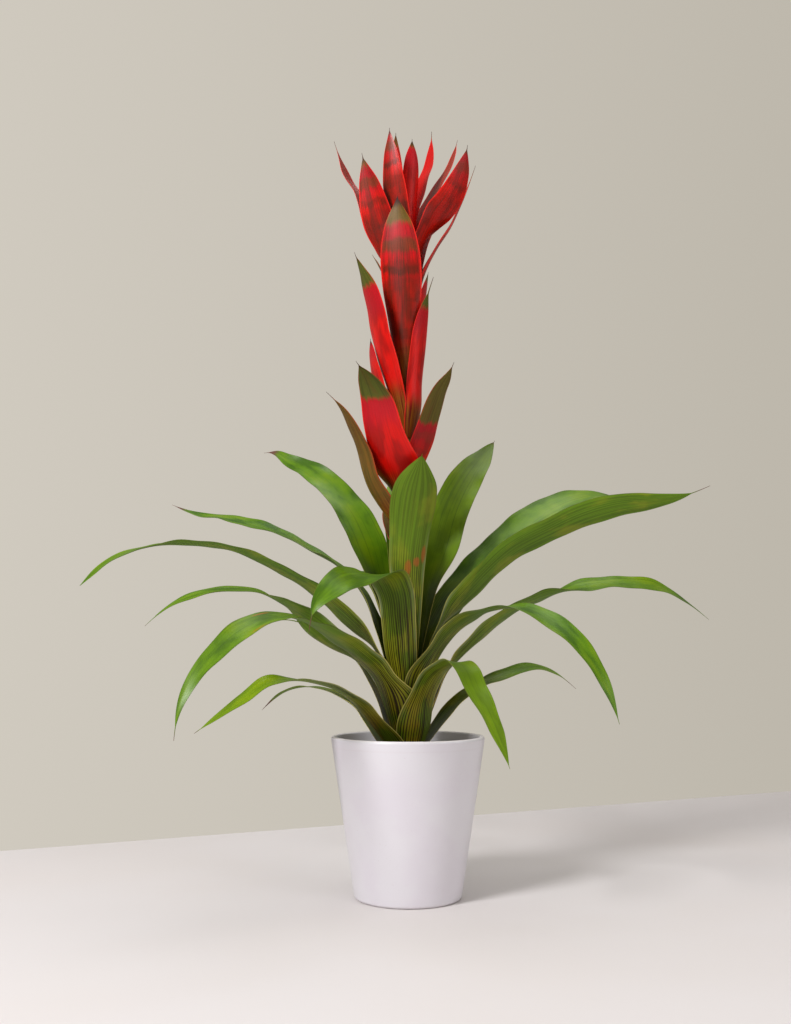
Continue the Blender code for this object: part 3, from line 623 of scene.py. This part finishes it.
def bark_finish(look):
    """Crumbs of bark and coir: each has its own brown, with a streaky grain."""
    f = Finish("bark_crumb")
    own = f.attribute("own", "Fac")
    streak = f.noise(f.object_point(), 700.0, 3.0, 0.6)
    colour = f.mix(look.peat, look.bark, own.rise(0.15, 0.85))
    colour = f.mix(colour, paint(150, 118, 84), own.rise(0.86, 0.95) * 0.7)
    colour = f.mix(colour, paint(34, 22, 16), streak.rise(0.5, 0.68) * 0.6)
    return f.done(Base_Color=colour, Roughness=0.8 + streak * 0.15, Normal=f.bump(streak, 0.0006, 0.7))


# ---- shapes ----
def smoothstep(t):
    """0 up to t = 0, 1 from t = 1, and 3 t^2 - 2 t^3 between, which leaves and arrives level."""
    t = np.clip(t, 0.0, 1.0)
    return t * t * (3.0 - 2.0 * t)


def add_piece(name, points, faces, material, attributes=None, slot=None, sharp=40.0):
    """Puts points and face arrays into a mesh and links it; attributes hold one row for each point."""
    mesh = bpy.data.meshes.new(name)
    corners = [face for group in faces for face in group.tolist()]
    mesh.from_pydata(points.reshape(-1, 3).tolist(), [], corners)
    for key, values in (attributes or {}).items():
        kind, field = ("FLOAT_VECTOR", "vector") if values.ndim == 2 else ("FLOAT", "value")
        layer = mesh.attributes.new(key, kind, "POINT")
        layer.data.foreach_set(field, values.astype(np.float32).ravel())
    mesh.materials.append(material)
    mesh.shade_smooth()
    mesh.set_sharp_from_angle(angle=math.radians(sharp))
    mesh.validate()
    piece = bpy.data.objects.new(name, mesh)
    bpy.context.scene.collection.objects.link(piece)
    if slot:
        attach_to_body(piece, BODY)
    return piece


def turned(profile, steps=TURN_STEPS):
    """Surface of revolution: each (radius, height) of the profile is carried round Z.

    The first and last points lie on the axis and become one point each. The profile runs up the
    inside and down the outside, so the faces look outwards.
    """
    profile = np.array(profile)
    ring = profile[1:-1]
    angle = np.linspace(0.0, 2.0 * math.pi, steps, endpoint=False)
    radius, height = ring[:, :1], ring[:, 1:]
    grid = np.stack(np.broadcast_arrays(radius * np.cos(angle), radius * np.sin(angle), height), axis=-1)
    ends = [[(0.0, 0.0, profile[k, 1])] for k in (0, -1)]
    points = np.concatenate([ends[0], grid.reshape(-1, 3), ends[1]])
    index = 1 + np.arange(len(ring) * steps).reshape(len(ring), steps)
    after = np.roll(index, -1, axis=1)
    quads = np.stack([index[:-1], index[1:], after[1:], after[:-1]], -1).reshape(-1, 4)
    last = len(points) - 1
    top = np.stack([0 * index[0], index[0], after[0]], -1)
    bottom = np.stack([0 * index[0] + last, after[-1], index[-1]], -1)
    return points, [quads, top, bottom]


def rounded(points, radii, steps=8):
    """The points of an open profile, with each inner corner replaced by an arc of its own radius."""
    out = [points[0]]
    for before, corner, after, radius in zip(points, points[1:], points[2:], radii):
        a = np.subtract(before, corner)
        b = np.subtract(after, corner)
        a /= np.linalg.norm(a)
        b /= np.linalg.norm(b)
        half_angle = 0.5 * math.acos(float(np.clip(a @ b, -1.0, 1.0)))
        centre = np.array(corner) + (a + b) / np.linalg.norm(a + b) * radius / math.sin(half_angle)
        first = np.array(corner) + a * radius / math.tan(half_angle) - centre
        last = np.array(corner) + b * radius / math.tan(half_angle) - centre
        share = np.linspace(0.0, 1.0, steps + 1)[:, None]
        arm = first * (1.0 - share) + last * share
        out.extend((centre + arm / np.linalg.norm(arm, axis=1)[:, None] * radius).tolist())
    out.append(points[-1])
    return out


def divided(profile, pitch):
    """The profile with points added along its straight runs, so that none is longer than the pitch."""
    profile = np.array(profile)
    pieces = []
    for a, b in zip(profile, profile[1:]):
        count = max(1, math.ceil(float(np.linalg.norm(b - a)) / pitch))
        pieces.append(a + (b - a) * np.arange(count)[:, None] / count)
    return np.concatenate(pieces + [profile[-1:]])


def centreline(points, rings):
    """Reach, swing and height at the rings of a strap, on a smooth curve through the points.

    The curve is a cubic through each pair of neighbours whose slope at a point is weighted from both
    sides. The rings are closer together near the stalk. Returns the share of the length at each
    ring, the length, and the three rows of values.
    """
    p = np.array(points, float)
    gap = np.hypot(np.diff(p[:, 0]), np.diff(p[:, 2]))[:, None]
    slope = np.diff(p, axis=0) / gap
    tangent = np.empty_like(p)
    tangent[1:-1] = (slope[:-1] * gap[1:] + slope[1:] * gap[:-1]) / (gap[:-1] + gap[1:])
    tangent[0] = 1.5 * slope[0] - 0.5 * tangent[1]
    tangent[-1] = 1.5 * slope[-1] - 0.5 * tangent[-2]
    knots = np.concatenate([[0.0], np.cumsum(gap)])
    t = np.linspace(0.0, knots[-1], 800)
    i = np.clip(np.searchsorted(knots, t, "right") - 1, 0, len(gap) - 1)
    u = ((t - knots[i]) / gap[i, 0])[:, None]
    fine = ((2 * u**3 - 3 * u**2 + 1) * p[i] + (u**3 - 2 * u**2 + u) * gap[i] * tangent[i]
            + (3 * u**2 - 2 * u**3) * p[i + 1] + (u**3 - u**2) * gap[i] * tangent[i + 1])
    angle = np.radians(fine[:, 1])
    xyz = np.stack([fine[:, 0] * np.cos(angle), fine[:, 0] * np.sin(angle), fine[:, 2]], 1)
    run = np.concatenate([[0.0], np.cumsum(np.linalg.norm(np.diff(xyz, axis=0), axis=1))])
    share = np.linspace(0.0, 1.0, rings) ** 1.1
    return share, run[-1], [np.interp(share * run[-1], run, fine[:, k]) for k in range(3)]


def eased(at, stops):
    """Value at each place from (place, value) stops, with a smooth step between neighbours."""
    place, value = np.array(stops, float).T
    i = np.clip(np.searchsorted(place, at, "right") - 1, 0, len(place) - 2)
    step = smoothstep((at - place[i]) / (place[i + 1] - place[i]))
    return value[i] + (value[i + 1] - value[i]) * step


def strap_shell(item, shape, thickness, number):
    """A leaf or bract as a closed shell: points in metres, faces, and its attributes.

    At reach r a sheath point lies at angle azimuth + v * w / r round the axis, with v from -1 to 1
    and w the half width. A blade point lies on an arc across the centreline, turned by the roll
    about it, and its margin is lifted in slow waves. The middle surface passes from the first to the
    second while the reach grows through the opening. The two faces stand off it along its normal by
    half the thickness times m + (1 - m) sqrt(1 - v^2), m being MARGIN, so the margins are thin.
    """
    rng = np.random.default_rng(100 + number)
    phase = rng.uniform(0.0, 2.0 * math.pi, 4)
    heights, shares = zip(*STEM)
    seat = float(np.interp(item.attach, heights, shares)) * STEM_HIGH.x / MM + SEAT_GAP
    rest = [(q[0], q[2] if len(q) > 2 else 0.0, q[1]) for q in item.path]
    share, length, (reach, swing, height) = centreline([(seat, 0.0, item.attach)] + rest, shape.rings)

    foot = 1.0 + (item.foot - 1.0) * (1.0 - smoothstep(share * length / FOOT_FADE))
    green = np.clip(share / (1.0 - item.thread), 0.0, 1.0)
    half = 0.5 * item.width * foot * (1.0 - green**item.taper)**0.85
    half *= 1.0 - 0.2 * smoothstep((green - 0.86) / 0.14)
    half = np.hypot(half, np.interp(share, (0.9, 1.0), (0.6, 0.15)))

    angle = np.radians(item.azimuth + swing)
    spine = np.stack([reach * np.cos(angle), reach * np.sin(angle), height], 1)
    along = np.gradient(spine, share * length, axis=0)
    along /= np.linalg.norm(along, axis=1)[:, None]
    side = np.stack([-np.sin(angle), np.cos(angle), 0 * angle], 1)
    side -= (side * along).sum(1)[:, None] * along
    side /= np.linalg.norm(side, axis=1)[:, None]
    face = np.cross(along, side)
    roll = np.radians(eased(share, item.roll))[:, None]
    side, face = side * np.cos(roll) + face * np.sin(roll), face * np.cos(roll) - side * np.sin(roll)

    v = np.linspace(-1.0, 1.0, shape.strips + 1)[None, :]
    sagitta = np.interp(share, (0.0, 0.3, 0.6, 1.0), (0.16, 0.12, 0.08, 0.05))
    bend = (4.0 * sagitta / half)[:, None]
    turn = v * half[:, None] * bend
    run = (share * length)[:, None]
    wave = (np.sin(run / RIPPLES[0] + phase[0] + 1.9 * (v > 0))
            + 0.6 * np.sin(run / RIPPLES[1] + phase[1] + 2.6 * (v < 0)))
    narrow = np.minimum(1.0, half[:, None] / 8.0)
    lift = (1.0 - np.cos(turn)) / bend + shape.ripple * wave * v**2 * narrow
    blade = (spine[:, None] + side[:, None] * (np.sin(turn) / bend)[..., None]
             + face[:, None] * lift[..., None])

    spread = half / reach
    spread = spread / np.sqrt(1.0 + (spread / math.radians(shape.wrap))**2)
    left, right, near, far = item.clasp
    hold = 1.0 - smoothstep((run - near) / (far - near))
    wider = 1.0 + (np.where(v < 0.0, left, right) - 1.0) * hold
    around = angle[:, None] + v * spread[:, None] * wider
    tall = height[:, None] + 0 * v
    sheath = np.stack([reach[:, None] * np.cos(around), reach[:, None] * np.sin(around), tall], -1)
    mix = smoothstep((reach - shape.opening[0]) / (shape.opening[1] - shape.opening[0]))
    middle = sheath + (blade - sheath) * np.maximum.accumulate(mix)[:, None, None]

    normal = np.cross(np.gradient(middle, axis=0), np.gradient(middle, axis=1))
    normal /= np.linalg.norm(normal, axis=2)[..., None]
    thick = 0.5 * thickness / MM * np.interp(share, (0.0, 0.85, 1.0), (1.0, 1.0, MARGIN))[:, None]
    swell = MARGIN + (1.0 - MARGIN) * np.sqrt(np.maximum(0.0, 1.0 - v**2))
    stand = normal * (thick * swell)[..., None]
    loop = np.concatenate([middle + stand, (middle - stand)[:, ::-1]], axis=1)
    points = loop * MM + np.array((0.0, 0.0, MIX_TOP))

    across = np.concatenate([v, v[:, ::-1]], axis=1) + 0 * share[:, None]
    grid = across.shape
    under = np.broadcast_to(np.repeat((0.0, 1.0), shape.strips + 1), grid)
    strap_place = np.stack([across, share[:, None] + 0 * across, run + 0 * across], -1)
    attributes = {
        "strap": strap_place.reshape(-1, 3),
        "under": under.ravel(),
        "seed": np.full(across.size, rng.uniform()),
        "tone": np.tile(item.tone, (across.size, 1)),
    }

    index = np.arange(across.size).reshape(grid)
    after = np.roll(index, -1, axis=1)
    quads = np.stack([index[:-1], index[1:], after[1:], after[:-1]], -1).reshape(-1, 4)
    mirror = index[:, ::-1]
    k = np.arange(shape.strips)
    root = np.stack([index[0, k], index[0, k + 1], mirror[0, k + 1], mirror[0, k]], -1)
    tip = np.stack([index[-1, k + 1], index[-1, k], mirror[-1, k], mirror[-1, k + 1]], -1)
    return points, [quads, root, tip], attributes


def wall_radius(pot, height):
    """Outer radius of the cover pot at a height: a straight taper from foot to rim."""
    return pot.foot + (pot.rim - pot.foot) * height / pot.height


def make_cover_pot(pot):
    """Turned shell: floor, inner wall, rolled rim, tapering outer wall, foot ring round a hollow."""
    inner_rim = pot.rim - pot.wall
    inner_foot = wall_radius(pot, BASE_PLATE) - pot.wall
    ring = pot.foot - FOOT_RING
    profile = [(0.0, BASE_PLATE), (inner_foot, BASE_PLATE), (inner_rim, pot.height),
               (pot.rim, pot.height), (pot.foot, 0.0), (ring, 0.0), (ring - 0.002, FOOT_RECESS),
               (0.0, FOOT_RECESS)]
    roll = 0.46 * pot.wall
    radii = (0.004, roll, roll, 0.003, 0.0008, 0.0008)
    points, faces = turned(divided(rounded(profile, radii), 0.006))
    piece = add_piece("glazed_cover_pot", points, faces, glaze_finish(pot), None, "white_glaze", 60.0)
    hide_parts("cover_pot")


def make_root_ball(mix):
    """Turned body with a dished, uneven top, and loose crumbs.

    Each crumb is a ball of 20 faces whose corners are pushed in or out, squashed, tilted, turned and
    laid at a random place between the stalk and the nursery pot's wall.
    """
    rng = np.random.default_rng(7)
    inner = MIX_HIGH.x
    base = MIX_LOW.z
    socket = STEM_HIGH.x + 0.0003
    foot = 0.72 * inner
    profile = [(0.0, MIX_TOP - 0.026), (socket, MIX_TOP - 0.02), (socket, MIX_TOP - 0.0015),
               (socket + 0.002, MIX_TOP - 0.0006), (0.6 * inner, MIX_TOP - 0.0006),
               (inner, MIX_TOP - 0.0035), (foot, base), (0.0, base)]
    points, faces = turned(divided(profile, 0.0016))
    reach = np.hypot(points[:, 0], points[:, 1])
    loose = (reach > socket + 0.001) & (reach < inner - 0.0008) & (points[:, 2] > MIX_TOP - 0.006)
    points[:, 2] += np.where(loose, rng.normal(0.0, 0.0005, len(points)) - 0.0004, 0.0)
    peat = add_piece("root_ball", points, faces, peat_finish(mix), slot="peat_and_bark", sharp=180.0)
    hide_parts("potting_mix")

    golden = (1.0 + math.sqrt(5.0)) / 2.0
    corners = np.array([(-1, golden, 0), (1, golden, 0), (-1, -golden, 0), (1, -golden, 0),
                        (0, -1, golden), (0, 1, golden), (0, -1, -golden), (0, 1, -golden),
                        (golden, 0, -1), (golden, 0, 1), (-golden, 0, -1), (-golden, 0, 1)]) / 1.902
    sides = np.array([(0, 11, 5), (0, 5, 1), (0, 1, 7), (0, 7, 10), (0, 10, 11), (1, 5, 9), (5, 11, 4),
                      (11, 10, 2), (10, 7, 6), (7, 1, 8), (3, 9, 4), (3, 4, 2), (3, 2, 6), (3, 6, 8),
                      (3, 8, 9), (4, 9, 5), (2, 4, 11), (6, 2, 10), (8, 6, 7), (9, 8, 1)])
    count = mix.crumbs
    size = mix.crumb_size * rng.lognormal(0.0, 0.35, (count, 1, 1)).clip(0.4, 2.0)
    shape = corners[None] * rng.uniform(0.75, 1.2, (count, 12, 1)) * size
    squash = [np.ones(count), rng.uniform(0.4, 0.8, count), rng.uniform(0.25, 0.5, count)]
    shape = shape * np.stack(squash, -1)[:, None]
    turn = rng.uniform(0.0, 2.0 * math.pi, count)[:, None]
    tilt = rng.normal(0.0, 0.25, count)[:, None]
    x, y, z = shape[..., 0], shape[..., 1], shape[..., 2]
    x, z = x * np.cos(tilt) - z * np.sin(tilt), x * np.sin(tilt) + z * np.cos(tilt)
    x, y = x * np.cos(turn) - y * np.sin(turn), x * np.sin(turn) + y * np.cos(turn)
    angle = rng.uniform(0.0, 2.0 * math.pi, count)[:, None]
    reach = np.sqrt(rng.uniform(0.0145**2, (inner - 0.005)**2, count))[:, None]
    dish = 0.003 * smoothstep((reach / inner - 0.6) / 0.4)
    level = MIX_TOP - 0.0008 - dish + rng.uniform(0, 0.001, (count, 1))
    crumbs = np.stack([x + reach * np.cos(angle), y + reach * np.sin(angle), z + level], -1)
    faces = (sides[None] + 12 * np.arange(count)[:, None, None]).reshape(-1, 3)
    own = {"own": np.repeat(rng.uniform(size=count), 12)}
    add_piece("bark_crumbs", crumbs, [faces], bark_finish(mix), own, "peat_and_bark", FOLD)


def make_stalk(stalk):
    """Turned stalk from a blunt foot in the mix to a thin end among the top bracts."""
    profile = [(0.0, STEM_HIGH.z)]
    for height, share in reversed(STEM):
        profile.append((stalk.radius * share, MIX_TOP + height * MM))
    profile += [(stalk.radius, MIX_TOP - 0.0156), (0.7 * stalk.radius, STEM_LOW.z), (0.0, STEM_LOW.z)]
    points, faces = turned(divided(profile, 0.006), 48)
    piece = add_piece("flower_stalk", points, faces, stalk_finish(stalk), None, "stem_green", FOLD)
    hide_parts("stem")


def make_straps(kind, items, shape, thickness, materials, slot, first_seed):
    """Every leaf or every bract. materials maps a number to its own finish, 0 being the common one."""
    for number, item in enumerate(items, 1):
        points, faces, attributes = strap_shell(item, shape, thickness, first_seed + number)
        finish = materials.get(number, materials[0])
        name = f"{kind}_strap_{number:02d}"
        piece = add_piece(name, points, faces, finish, attributes, slot, FOLD)
        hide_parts(f"{kind}_{number:02d}")


def soft_light(name, place, target, size, power):
    """A round lamp of that diameter, turned to face the target."""
    light = bpy.data.lights.new(name, "AREA")
    light.shape = "DISK"
    light.size = size
    light.energy = power
    lamp = bpy.data.objects.new(name, light)
    lamp.location = place
    lamp.rotation_mode = "QUATERNION"
    lamp.rotation_quaternion = (Vector(target) - Vector(place)).to_track_quat("-Z", "Y")
    bpy.context.scene.collection.objects.link(lamp)


def make_stage(stage):
    """A pale table top whose back edge runs aslant, a plain backdrop, soft lights and the camera."""
    f = Finish("pale_table")
    place = f.object_point()
    tone = f.noise(place, 3.0, 3.0)
    colour = f.mix(stage.floor, paint(221, 214, 212), tone.rise(0.4, 0.7) * 0.5)
    material = f.done(Base_Color=colour, Roughness=0.6 + tone * 0.1,
                      Normal=f.bump(f.noise(place, 900.0, 2.0), 0.0001, 0.3))
    low, high = (np.insert(np.array(TABLE), 2, z, axis=1) for z in (-TABLE_THICKNESS, 0.0))
    sides = np.array([(4, 5, 1, 0), (5, 6, 2, 1), (6, 7, 3, 2), (7, 4, 0, 3), (1, 2, 3, 0),
                      (7, 6, 5, 4)])
    floor = add_piece("table_top", np.concatenate([low, high]), [sides], material)

    w = Finish("backdrop", bpy.data.worlds)
    w.tree.nodes.clear()
    aside = w.parts(w.node("ShaderNodeTexCoord", None, None, "Generated"))[0]
    shading = w.node("ShaderNodeMapRange", None, {0: aside, 1: -0.42, 2: 0.42})
    wall = w.node("ShaderNodeBackground", None, {"Color": w.mix(stage.backdrop, stage.shade, shading)})
    glow = w.node("ShaderNodeBackground", None, {"Color": stage.backdrop, "Strength": stage.ambient})
    seen = w.node("ShaderNodeLightPath", None, None, "Is Camera Ray")
    light = w.node("ShaderNodeMixShader", None, {0: seen, 1: glow, 2: wall})
    w.node("ShaderNodeOutputWorld", None, {"Surface": light}, None)
    bpy.context.scene.world = w.material

    for name, place, target, size, share in LIGHTS:
        soft_light(name, place, target, size, share * stage.key)

    camera = bpy.data.cameras.new("camera")
    camera.lens = stage.lens
    eye = bpy.data.objects.new("camera", camera)
    eye.location = EYE
    eye.rotation_euler = (math.radians(EYE_TILT), 0.0, 0.0)
    bpy.context.scene.collection.objects.link(eye)
    bpy.context.scene.camera = eye
    bpy.context.scene.view_settings.view_transform = "Standard"


# ---- operators, one for each piece or group of like pieces ----
class BROMELIAD_OT_cover_pot(bpy.types.Operator):
    """Make the glazed cover pot"""

    bl_idname = "bromeliad.cover_pot"
    bl_label = "Cover Pot"

    def execute(self, context):
        make_cover_pot(context.scene.bromeliad_cover_pot)
        return {"FINISHED"}


class BROMELIAD_OT_nursery_pot(bpy.types.Operator):
    """Give the nursery pot its moulded plastic"""

    bl_idname = "bromeliad.nursery_pot"
    bl_label = "Nursery Pot"

    def execute(self, context):
        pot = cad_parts["grow_pot"]
        material = plastic_finish(context.scene.bromeliad_nursery_pot)
        for holder in pot.material_slots:
            holder.material = material
        return {"FINISHED"}


class BROMELIAD_OT_potting_mix(bpy.types.Operator):
    """Make the root ball and its crumbs of bark"""

    bl_idname = "bromeliad.potting_mix"
    bl_label = "Potting Mix"

    def execute(self, context):
        make_root_ball(context.scene.bromeliad_mix)
        return {"FINISHED"}


class BROMELIAD_OT_stalk(bpy.types.Operator):
    """Make the flower stalk"""

    bl_idname = "bromeliad.stalk"
    bl_label = "Flower Stalk"

    def execute(self, context):
        make_stalk(context.scene.bromeliad_stalk)
        return {"FINISHED"}


class BROMELIAD_OT_leaves(bpy.types.Operator):
    """Make the green leaves"""

    bl_idname = "bromeliad.leaves"
    bl_label = "Leaves"

    def execute(self, context):
        look = context.scene.bromeliad_leaves
        materials = {0: leaf_finish("leaf_live", look)}
        for number, scars in SCARS.items():
            materials[number] = leaf_finish(f"leaf_live_scarred_{number:02d}", look, scars)
        make_straps("leaf", LEAVES, LEAF, look.thickness, materials, "leaf_green", 0)
        return {"FINISHED"}


class BROMELIAD_OT_bracts(bpy.types.Operator):
    """Make the red bracts up the stalk"""

    bl_idname = "bromeliad.bracts"
    bl_label = "Bracts"

    def execute(self, context):
        look = context.scene.bromeliad_bracts
        materials = {0: bract_finish("bract_live", look)}
        make_straps("bract", BRACTS, BRACT, look.thickness, materials, "bract_red", 40)
        return {"FINISHED"}


class BROMELIAD_OT_stage(bpy.types.Operator):
    """Make the table top, backdrop, lights and camera"""

    bl_idname = "bromeliad.stage"
    bl_label = "Stage"

    def execute(self, context):
        make_stage(context.scene.bromeliad_stage)
        return {"FINISHED"}


OPERATORS = (BROMELIAD_OT_stage, BROMELIAD_OT_cover_pot, BROMELIAD_OT_nursery_pot,
             BROMELIAD_OT_potting_mix, BROMELIAD_OT_stalk, BROMELIAD_OT_leaves, BROMELIAD_OT_bracts)
SETTINGS = {
    "bromeliad_cover_pot": CoverPotSettings,
    "bromeliad_nursery_pot": NurseryPotSettings,
    "bromeliad_mix": MixSettings,
    "bromeliad_stalk": StalkSettings,
    "bromeliad_leaves": LeafSettings,
    "bromeliad_bracts": BractSettings,
    "bromeliad_stage": StageSettings,
}


class BROMELIAD_PT_panel(bpy.types.Panel):
    """The pieces and their settings"""

    bl_idname = "BROMELIAD_PT_panel"
    bl_label = "Potted Bromeliad"
    bl_space_type = "VIEW_3D"
    bl_region_type = "UI"
    bl_category = "Bromeliad"

    def draw(self, context):
        for name, group in SETTINGS.items():
            box = self.layout.box()
            box.label(text=group.__doc__)
            for field in group.__annotations__:
                box.prop(getattr(context.scene, name), field)
        for operator in OPERATORS:
            self.layout.operator(operator.bl_idname)


def register():
    for name, group in SETTINGS.items():
        bpy.utils.register_class(group)
        setattr(bpy.types.Scene, name, bpy.props.PointerProperty(type=group))
    for made in (*OPERATORS, BROMELIAD_PT_panel):
        bpy.utils.register_class(made)


def unregister():
    for made in reversed((*OPERATORS, BROMELIAD_PT_panel)):
        bpy.utils.unregister_class(made)
    for name, group in SETTINGS.items():
        delattr(bpy.types.Scene, name)
        bpy.utils.unregister_class(group)


def main():
    register()
    bpy.ops.bromeliad.stage()
    bpy.ops.bromeliad.cover_pot()
    bpy.ops.bromeliad.nursery_pot()
    bpy.ops.bromeliad.potting_mix()
    bpy.ops.bromeliad.stalk()
    bpy.ops.bromeliad.leaves()
    bpy.ops.bromeliad.bracts()


if __name__ == "__main__":
    main()
